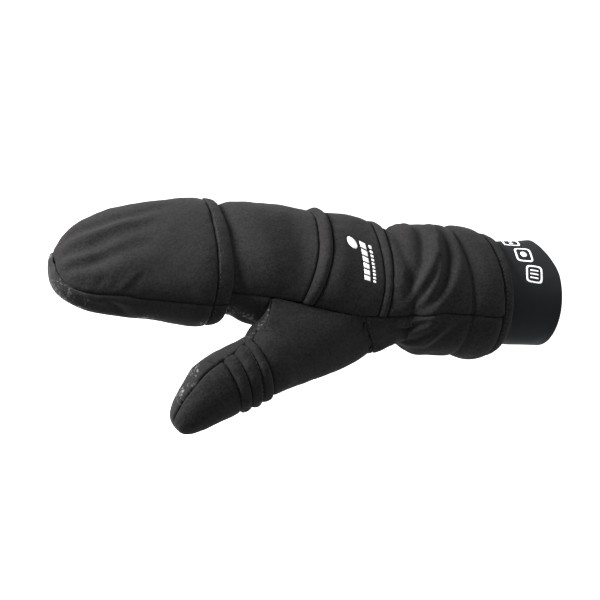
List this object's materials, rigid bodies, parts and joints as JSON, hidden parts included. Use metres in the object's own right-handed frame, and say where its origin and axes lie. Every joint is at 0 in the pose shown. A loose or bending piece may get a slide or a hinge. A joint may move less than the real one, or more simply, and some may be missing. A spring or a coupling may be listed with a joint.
{
  "type": "flip-top fingerless mitten",
  "caption": "Padded softshell mitten for a right hand: closed fold-back finger hood, ribbed thumb with cap, wrinkled gauntlet and smooth inner cuff.",
  "frame": {"origin": "centre of the inner cuff's mouth, where the wrist goes in", "axes": "+X out of the cuff's mouth towards the elbow, so the fingertips are at -X; +Z out of the back of the hand; the thumb is on the -Y side"},
  "size_m": [0.2911, 0.1395, 0.0744],
  "materials": {
    "softshell": "black brushed softshell cloth, matte with a faint sheen",
    "grip_fabric": "black knit with raised pale grip flecks",
    "neoprene": "smooth charcoal laminated neoprene, soft sheen",
    "thread": "black sewing thread",
    "print": "pale grey heat-set print film"
  },
  "bodies": {
    "root": {"hood_back": "softshell", "hood_palm": "grip_fabric", "hood_hem_back": "softshell", "hood_hem_palm": "softshell", "hand_back": "softshell", "knuckle_roll": "softshell", "back_panel": "softshell", "wrist_rib": "softshell", "hand_palm": "grip_fabric", "wrist_palm": "softshell", "thumb_gusset": "softshell", "thumb_rib_1": "softshell", "thumb_rib_2": "softshell", "thumb_rib_3": "softshell", "thumb_cap_back": "softshell", "thumb_cap_palm": "grip_fabric", "thumb_palm": "grip_fabric", "gauntlet_back": "softshell", "gauntlet_palm": "softshell", "gauntlet_hem": "softshell", "inner_cuff": "neoprene"}
  },
  "joints": []
}
